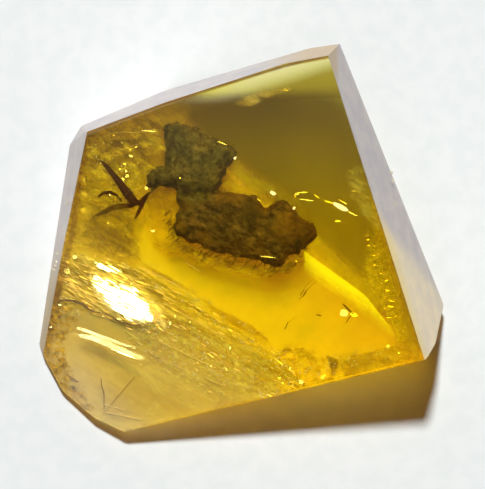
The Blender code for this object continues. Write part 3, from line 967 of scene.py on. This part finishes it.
def scattered(host, tree, per_mm2, size, tilt, seed, material):
    """Scatter shapes over a host surface, and keep the shapes only."""
    modifier = host.modifiers.new(tree.name, "NODES")
    modifier.node_group = tree
    values = {"Density": per_mm2 / MM ** 2, "Size": size * MM, "Tilt": tilt, "Seed": seed,
              "Material": material}
    for item in tree.interface.items_tree:
        if item.in_out == "INPUT" and item.name in values:
            modifier[item.identifier] = values[item.name]
    return baked(host)


def upward_face(bm, place, corners):
    """A face through corners seen in the photograph, turned to show its upper side."""
    face = bm.faces.new([bm.verts.new(place(px, py)) for px, py in corners])
    face.normal_update()
    if face.normal.z < 0.0:
        face.normal_flip()


def flake_strip(name, line, width, share):
    """A ribbon along a line of the photograph, facing as the lamp's flash asks."""
    bm = bmesh.new()
    for start, end in zip(line, line[1:]):
        run = Vector((end[0] - start[0], end[1] - start[1]))
        side = Vector((-run.y, run.x)).normalized() * width / 2.0
        place = facing_the_lamp((start[0] + end[0]) / 2.0, (start[1] + end[1]) / 2.0, share)
        upward_face(bm, place, [(spot[0] + sign * side.x, spot[1] + sign * side.y)
                                for spot, sign in ((start, 1.0), (start, -1.0), (end, -1.0), (end, 1.0))])
    return object_from(bm, name)


def flash(bm, px, py, length, width, turn, share, tilt=0.0, away=0.0):
    """A small flake at a pixel, facing as the lamp's flash asks, or off it by a tilt in degrees."""
    middle = at_share(px, py, share)
    lean = Matrix.Rotation(math.radians(tilt), 3, Vector((math.cos(away), math.sin(away), 0.0)))
    facing = lean @ flash_facing(middle)
    along = (math.cos(turn), math.sin(turn))
    corners = []
    for step in range(FLAKE_SIDES):
        angle = math.tau * step / FLAKE_SIDES
        u = math.cos(angle) * length / 2.0
        v = math.sin(angle) * width / 2.0
        wobble = 1.0 + 0.25 * noise.noise(Vector((px + step * 3.1, py, turn)))
        corners.append((px + (u * along[0] - v * along[1]) * wobble,
                        py + (u * along[1] + v * along[0]) * wobble))
    upward_face(bm, lambda qx, qy: on_plane(qx, qy, middle, facing), corners)


def crack(bm, line, widths, share):
    """A thin dark crack seen on edge: a narrow upright blade along a line of the photograph."""
    drop = Vector((0.0, 0.0, 0.08)) * MM
    rings = []
    for (px, py), width in zip(line, widths):
        middle = at_share(px, py, share)
        half = Vector((width / 2.0, width / 3.0, 0.0)) * MM
        rings.append([bm.verts.new(middle + offset)
                      for offset in (-half - drop, half - drop, half + drop, -half + drop)])
    for ring, following in zip(rings, rings[1:]):
        tube_between(bm, ring, following)
    bm.faces.new(rings[0][::-1])
    bm.faces.new(rings[-1])


def swelling(line, ends, swell):
    """A crack's widths in mm, which swell from its ends to its middle."""
    return [ends + swell * math.sin(math.pi * (index + 0.5) / len(line)) for index in range(len(line))]


def past_crease(px, py):
    """Whether a pixel lies on the yellow side of the crease."""
    near, bend, far = CREASE_POINTS
    below_near = py > near[1] + (px - near[0]) * (bend[1] - near[1]) / (bend[0] - near[0])
    below_far = py > bend[1] + (px - bend[0]) * (far[1] - bend[1]) / (far[0] - bend[0])
    return below_near and below_far


def bright_side(px, py):
    return px > CREASE_POINTS[0][0] and past_crease(px, py)


def dull_side(px, py):
    return not past_crease(px, py)


def ride_in_amber(piece, material=None):
    if material:
        piece.data.materials.clear()
        piece.data.materials.append(material)
    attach(piece, "root")
    return piece


def zone(name, place, fade, light, dark, step=2.0, keep=lambda px, py: True, **look):
    """A cracked or clouded zone inside the block, or a sheet of painted shade or painted light."""
    piece = sheet(name, ZONES[name], place, step, fade, keep)
    ride_in_amber(piece, clouded_material(name, light, dark, **look))


def streak_kept(px, py, inset):
    """Leave thin gaps along the streaks of a flashing crack, more of them towards its edges."""
    along, across = along_streaks(px, py)
    streak = noise.noise(Vector((along * 0.04, across * 0.55, 3.0)))
    streak += 0.5 * noise.noise(Vector((along * 0.12, across * 1.3, 8.0)))
    return streak > 0.25 - 0.13 * min(5.0, inset)


def slivers():
    """Fine bright streaks about the flashing stretches, fainter the more they lean away."""
    bm = bmesh.new()
    chance = random.Random(SLIVER_SEED)
    made = 0
    while made < SLIVER_COUNT:
        px, py = (chance.uniform(*limits) for limits in SLIVER_FIELD)
        near_core = math.exp(-((px - FLASH_CORE[0]) / FLASH_CORE_SIZE[0]) ** 2
                             - ((py - FLASH_CORE[1]) / FLASH_CORE_SIZE[1]) ** 2)
        crumbly = is_inside(ZONES["crumbled_crack"], px, py)
        inside = crumbly or is_inside(ZONES["streaked_crack"], px, py)
        if not inside or chance.random() > (0.07 if crumbly else 0.3) + near_core:
            continue
        turn = STREAK_TURN + chance.gauss(0.0, 0.09)
        tilt = chance.uniform(1.5, 8.5)
        length = chance.uniform(2.0, 9.0) + 9.0 * near_core * chance.random()
        share = CRUMB_SLIVER_SHARE if crumbly else SLIVER_SHARE
        flash(bm, px, py, length, chance.uniform(0.5, 1.2), turn, share,
              tilt=tilt, away=chance.uniform(0.0, math.tau))
        made += 1
    return object_from(bm, "slivers")


def fibres():
    """Fine golden fibres that hang off the lower edge of the abdomen."""
    bm = bmesh.new()
    chance = random.Random(FIBRE_SEED)
    for _ in range(FIBRE_COUNT):
        part = chance.random() * (len(FIBRE_LINE) - 1)
        start, end = FIBRE_LINE[int(part)], FIBRE_LINE[int(part) + 1]
        px = start[0] + (end[0] - start[0]) * (part % 1.0) + chance.gauss(0.0, 2.0)
        py = start[1] + (end[1] - start[1]) * (part % 1.0) + chance.gauss(2.0, 4.2)
        turn = math.radians(chance.gauss(-38.0, 22.0))
        flash(bm, px, py, chance.uniform(3.0, 11.0), chance.uniform(0.35, 0.8), turn,
              chance.uniform(*FIBRE_SHARES), tilt=chance.uniform(5.0, 26.0),
              away=chance.uniform(0.0, math.tau))
    return object_from(bm, "body_fibres")


def flashing_cracks():
    """The smooth stretches of the lower crack that send the lamp straight to the camera."""
    pieces = []
    for number, outline in enumerate(FLASH_OUTLINES):
        middle_px, middle_py = (sum(values) / len(outline) for values in zip(*outline))
        flat = facing_the_lamp(middle_px, middle_py, FLASH_SHARE)

        def place(px, py):
            lift = 0.002 * noise.noise(Vector((px * 0.05, py * 0.3, number)))
            return flat(px, py) + Vector((0.0, 0.0, lift * MM))

        def keep(px, py):
            return number > 1 or streak_kept(px, py, nearest_on(outline, px, py)[1])
        pieces.append(sheet("flash_%d" % number, outline, place, step=0.7, keep=keep))
    return joined(pieces, "flashing_cracks")


def joined(pieces, name):
    bm = bmesh.new()
    for piece in pieces:
        bm.from_mesh(piece.data)
        bpy.data.objects.remove(piece)
    piece = object_from(bm, name)
    smooth(piece)
    return piece


def glints():
    """The single flashes, and the fine ticks of the comb at the right."""
    bm = bmesh.new()
    for number, (px, py, length, width, turn) in enumerate(GLINTS):
        shallow = px > SHALLOW_CORNER[0] and py < SHALLOW_CORNER[1] and width > SHALLOW_WIDTH
        share = SHALLOW_SHARE if shallow else 0.66 + 0.12 * math.sin(number * 2.4)
        flash(bm, px, py, length * GLINT_SHRINK, width * GLINT_SHRINK, math.radians(turn), share)
    for number in range(COMB_TICKS):
        part = number / (COMB_TICKS - 1)
        px = COMB_START[0] + COMB_RUN[0] * part + 4.0 * math.sin(number * 1.9)
        py = COMB_START[1] + COMB_RUN[1] * part + 1.5 * math.sin(number * 2.7)
        turn = math.radians(-6.0 + 16.0 * math.sin(number * 3.1))
        flash(bm, px, py, 3.6 + 2.4 * math.sin(number * 1.1), 0.45, turn, COMB_SHARE,
              tilt=7.0 + 3.0 * math.sin(number * 1.3), away=number)
    return object_from(bm, "glints")


def all_sparkles(material):
    """Tiny flakes along the cracks, those outside the block left out."""
    pieces = []
    for number, (line, width, share) in enumerate(zip(SPARKLE_LINES, SPARKLE_WIDTHS, SPARKLE_SHARES)):
        host = flake_strip("sparkles_%d" % number, line, width, share)
        pieces.append(scattered(host, SPARKLES, SPARKLES_PER_MM2, SPARKLE_SIZE, SPARKLE_TILT,
                                number + SPARKLE_SEED, material))
    whole = joined(pieces, "sparkles")
    bm = bmesh.new()
    bm.from_mesh(whole.data)
    outside = [vert for vert in bm.verts if pulled_in(vert.co)[1]]
    bmesh.ops.delete(bm, geom=outside, context="VERTS")
    bm.to_mesh(whole.data)
    bm.free()
    return whole


def fold_lines():
    """Fine pale creases in the clouded places."""
    bm = bmesh.new()
    for line in FOLD_LINES:
        crack(bm, line, swelling(line, 0.012, 0.022), FOLD_SHARE)
    bmesh.ops.recalc_face_normals(bm, faces=bm.faces)
    return object_from(bm, "fold_lines")


def dark_cracks():
    """The hair cracks, fainter at the left, and the wavy crack."""
    bm = bmesh.new()
    for line in HAIR_CRACKS:
        boldness = 0.6 if line[0][0] < FAINT_CRACKS_END else 1.0
        crack(bm, line, [width * boldness for width in swelling(line, 0.025, 0.04)], HAIR_CRACK_SHARE)
    widths = [0.06 + 0.08 * max(0.0, 1.0 - abs(index - 2) / 4.0) for index in range(len(WAVY_CRACK))]
    crack(bm, WAVY_CRACK, widths, WAVY_CRACK_SHARE)
    bmesh.ops.recalc_face_normals(bm, faces=bm.faces)
    return object_from(bm, "hair_cracks")


def floor():
    bm = bmesh.new()
    bmesh.ops.create_grid(bm, x_segments=2, y_segments=2, size=FLOOR_SIZE / 2.0)
    bmesh.ops.translate(bm, vec=(0.0, 0.0, -FLOOR_DROP), verts=bm.verts)
    paper = object_from(bm, "paper_floor")
    paper.data.materials.append(paper_material())


def lamp():
    light = bpy.data.lights.new("lamp", "AREA")
    light.shape = "DISK"
    light.size = 2.0 * LAMP_DISTANCE * math.tan(LAMP_WIDTH / 2.0)
    area = math.pi * (light.size / 2.0) ** 2
    share_of_sky = area / LAMP_DISTANCE ** 2 * math.sin(LAMP_ELEVATION)
    light.energy = LAMP_BRIGHTNESS * math.pi / share_of_sky * math.pi * area
    holder = add_object("lamp", light)
    holder.location = LAMP_WAY * LAMP_DISTANCE
    holder.rotation_euler = LAMP_WAY.to_track_quat("Z", "Y").to_euler()


def room_light():
    world = bpy.data.worlds.new("room")
    bpy.context.scene.world = world
    world.use_nodes = True
    background = world.node_tree.nodes["Background"]
    background.inputs["Color"].default_value = (*ROOM_COLOUR, 1.0)
    background.inputs["Strength"].default_value = ROOM_BRIGHTNESS


def camera():
    lens = bpy.data.cameras.new("camera")
    lens.sensor_width = SENSOR_WIDTH
    lens.lens = SENSOR_WIDTH * CAMERA_HEIGHT / (PICTURE_HEIGHT * PIXEL)
    lens.clip_start = 1.0 * MM
    holder = add_object("camera", lens)
    holder.location = EYE
    bpy.context.scene.camera = holder


CLOUDING = clouding_group()
BRISTLES = scatter_tree("bristles", HAIR_TURN, "GeometryNodeMeshCone",
                        {"Vertices": 4, "Radius Top": 0.01, "Radius Bottom": 0.05, "Depth": 1.0})
SPARKLES = scatter_tree("sparkles", math.pi, "GeometryNodeMeshCircle", {"Vertices": 6, "Radius": 1.0},
                        fill_type="NGON")
camera()
lamp()
room_light()
floor()
bpy.context.scene.view_settings.view_transform = "Standard"

amber = clear_block()
amber.data.materials.append(amber_material())
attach(amber, "root")
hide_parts("amber_lower", "amber_upper")

body = insect()
body.data.materials.append(insect_material())
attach(body, "root")
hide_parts("insect")

zone("pale_crack", rippled(0.70, 0.03, 60.0), 7.0, (0.98, 0.88, 0.48), (0.70, 0.58, 0.36), grain=0.6,
     along=0.4, cover=(0.50, 0.64), roughness=0.35, metallic=0.2, soft=False)
zone("streaked_crack", rippled(0.55, 0.07, 14.0, stretch=4.0), 8.0, (1.0, 0.91, 0.42), (0.46, 0.35, 0.08),
     grain=3.4, along=0.14, cover=(0.35, 0.85), roughness=0.36, metallic=0.15, relief=0.04, soft=False)
zone("left_crack", rippled(0.56, 0.06, 12.0), 20.0, (0.96, 0.84, 0.12), (0.22, 0.14, 0.01), grain=2.0,
     along=0.55, cover=(0.25, 0.75), roughness=0.32, metallic=0.25, relief=0.05, soft=False)
zone("comb_crack", rippled(0.45, 0.008, 8.0), 6.0, (1.0, 1.0, 0.36), (0.76, 0.74, 0.16), grain=3.8,
     cover=(0.30, 0.80), relief=0.02)
zone("front_crack", rippled(0.5, 0.08, 10.0), 10.0, (0.90, 0.66, 0.14), (0.48, 0.26, 0.02), grain=1.8,
     cover=(0.10, 0.7), roughness=0.3, metallic=0.3, relief=0.05)
# Painted light: a metallic sheet facing the lamp, coloured to stand in for the pool of light that comes in
# through the right bevel
zone("painted_light_pool", facing_the_lamp(*LIGHT_POOL_MIDDLE), 20.0, (0.84, 1.0, 0.10), (0.82, 0.98, 0.08), grain=0.4,
     along=0.5, cover=(0.54, 0.60), roughness=0.55, metallic=1.0, relief=0.002, step=1.0, keep=bright_side)
zone("crease_shade", rippled(0.5, 0.002, 14.0), 13.0, (1.0, 1.0, 0.005), (0.92, 0.84, 0.005), grain=1.0,
     cover=(0.40, 0.55), relief=0.002, step=1.0, keep=dull_side)
zone("flash_bloom", facing_the_lamp(*BLOOM_MIDDLE), 13.0, (1.0, 0.96, 0.84), (0.95, 0.85, 0.60), along=0.10,
     cover=(0.10, 0.75), roughness=0.34, metallic=1.0, relief=0.004, step=1.0)
zone("waist_shade", rippled(0.36, 0.015, 8.0), 17.0, (0.74, 0.80, 0.005), (0.56, 0.46, 0.005), grain=1.0,
     along=0.5, cover=(0.35, 0.60), relief=0.02)
zone("back_line", rippled(0.9, 0.01, 14.0), 1.2, (0.26, 0.14, 0.02), (0.12, 0.05, 0.01), grain=1.2,
     cover=(0.6, 0.95), step=1.0)
zone("right_shade", rippled(0.42, 0.01, 14.0), 15.0, (0.86, 0.94, 0.16), (0.60, 0.62, 0.08), grain=1.2,
     along=0.6, cover=(0.40, 0.72), roughness=0.4, relief=0.02)
zone("right_line", rippled(0.8, 0.01, 14.0), 2.5, (0.84, 0.70, 0.05), (0.66, 0.50, 0.03), grain=1.0,
     cover=(0.35, 0.60), step=1.0)
zone("corner_crumbs", rippled(0.76, 0.02, 5.0), 8.0, (1.0, 0.72, 0.05), (0.20, 0.10, 0.01), grain=3.6,
     along=0.8, cover=(0.0, 0.75), roughness=0.3, metallic=0.3, relief=0.05, soft=False)
# Painted highlight: a pale line along the top's front edge
zone("front_highlight", rippled(0.93, 0.005, 14.0), 1.6, (1.0, 0.94, 0.60), (0.80, 0.62, 0.24), grain=1.0,
     cover=(0.15, 0.75), step=1.0)
zone("crumbled_crack", rippled(0.76, 0.03, 5.0), 15.0, (1.0, 0.98, 0.36), (0.66, 0.56, 0.08), grain=4.2,
     along=0.5, cover=(0.10, 0.75), roughness=0.36, metallic=0.25, relief=0.05, soft=False)
zone("body_fringe", rippled(0.50, 0.01, 8.0), 14.0, (1.0, 0.92, 0.02), (0.66, 0.52, 0.01), grain=2.6,
     along=0.35, cover=(0.50, 0.80), roughness=0.6, relief=0.003)
zone("left_shade", rippled(0.68, 0.01, 8.0), 19.0, (0.60, 0.48, 0.01), (0.26, 0.17, 0.01), grain=2.0,
     along=0.4, cover=(0.35, 0.80))
# Painted shade: a warm tint over the insect's shadow left of the abdomen
zone("painted_body_shade", rippled(0.40, 0.01, 8.0), 20.0, (1.0, 0.82, 0.005), (0.80, 0.60, 0.005), grain=1.2,
     along=0.5, cover=(0.55, 0.85), roughness=0.6, relief=0.003)
zone("neck_shade", rippled(0.46, 0.01, 8.0), 14.0, (0.56, 0.42, 0.01), (0.28, 0.19, 0.01), grain=2.6,
     along=0.6, cover=(0.35, 0.70), roughness=0.6)
zone("corner_shade", rippled(0.5, 0.01, 8.0), 14.0, (0.74, 0.70, 0.26), (0.52, 0.46, 0.16), grain=1.2,
     along=0.5, cover=(0.55, 0.70), roughness=0.6)
# Painted sheen: a whitish spread of light about and below the double flash
zone("pale_sheen", rippled(0.82, 0.01, 14.0), 12.0, (1.0, 0.99, 0.40), (0.96, 0.88, 0.30), grain=1.6,
     along=0.3, cover=(0.05, 0.42), roughness=0.6)
zone("front_frost", rippled(0.6, 0.05, 7.0), 8.0, (0.74, 0.62, 0.20), (0.42, 0.31, 0.06), grain=2.4,
     along=0.5, cover=(0.5, 0.85), roughness=0.35, relief=0.04)
# Painted shade along the left rim, where the ground facet is seen from inside
zone("left_rim_shade", rippled(0.74, 0.02, 12.0), 5.0, (0.44, 0.24, 0.02), (0.24, 0.10, 0.01), grain=1.5,
     cover=(0.3, 0.80))
zone("edge_shade", rippled(0.3, 0.02, 12.0), 8.0, (0.45, 0.24, 0.02), (0.35, 0.17, 0.01), grain=0.8,
     along=0.3, cover=(0.25, 0.55), relief=0.02, soft=False)
zone("top_wisps", rippled(0.86, 0.02, 12.0), 7.0, (1.0, 0.95, 0.55), (0.88, 0.72, 0.28), grain=2.4,
     along=0.3, cover=(0.10, 0.80), roughness=0.4, relief=0.02)
zone("edge_haze", rippled(0.84, 0.01, 12.0), 9.0, (0.92, 0.96, 0.50), (0.66, 0.62, 0.20), grain=2.6,
     along=0.4, cover=(0.15, 0.70), relief=0.02)

hairs = add_object("insect_hairs", body.data.copy())
ride_in_amber(scattered(hairs, BRISTLES, HAIRS_PER_MM2, HAIR_LENGTH, HAIR_TILT, HAIR_SEED,
                        plain_material("insect_hair", (0.16, 0.09, 0.02), 0.5)))
ride_in_amber(fibres(), plain_material("body_fibre", (0.17, 0.10, 0.015), 0.5))
ride_in_amber(slivers(), plain_material("sliver", (1.0, 0.90, 0.56), 0.32, metallic=0.5))
ride_in_amber(flashing_cracks(), plain_material("flash", (1.0, 0.97, 0.90), 0.12, metallic=1.0))
ride_in_amber(glints(), plain_material("glint", (1.0, 0.90, 0.60), 0.22, metallic=1.0))
ride_in_amber(all_sparkles(plain_material("sparkle", (1.0, 0.85, 0.42), 0.30, metallic=1.0)))
ride_in_amber(fold_lines(), plain_material("fold_line", (0.95, 0.84, 0.44), 0.4))
ride_in_amber(dark_cracks(), plain_material("hair_crack", (0.16, 0.085, 0.015), 0.6))
zone("dark_plug", rippled(0.74, 0.02, 6.0), 3.5, (0.34, 0.19, 0.02), (0.16, 0.08, 0.008), cover=(0.6, 0.95),
     roughness=0.6, relief=0.02, step=1.0)
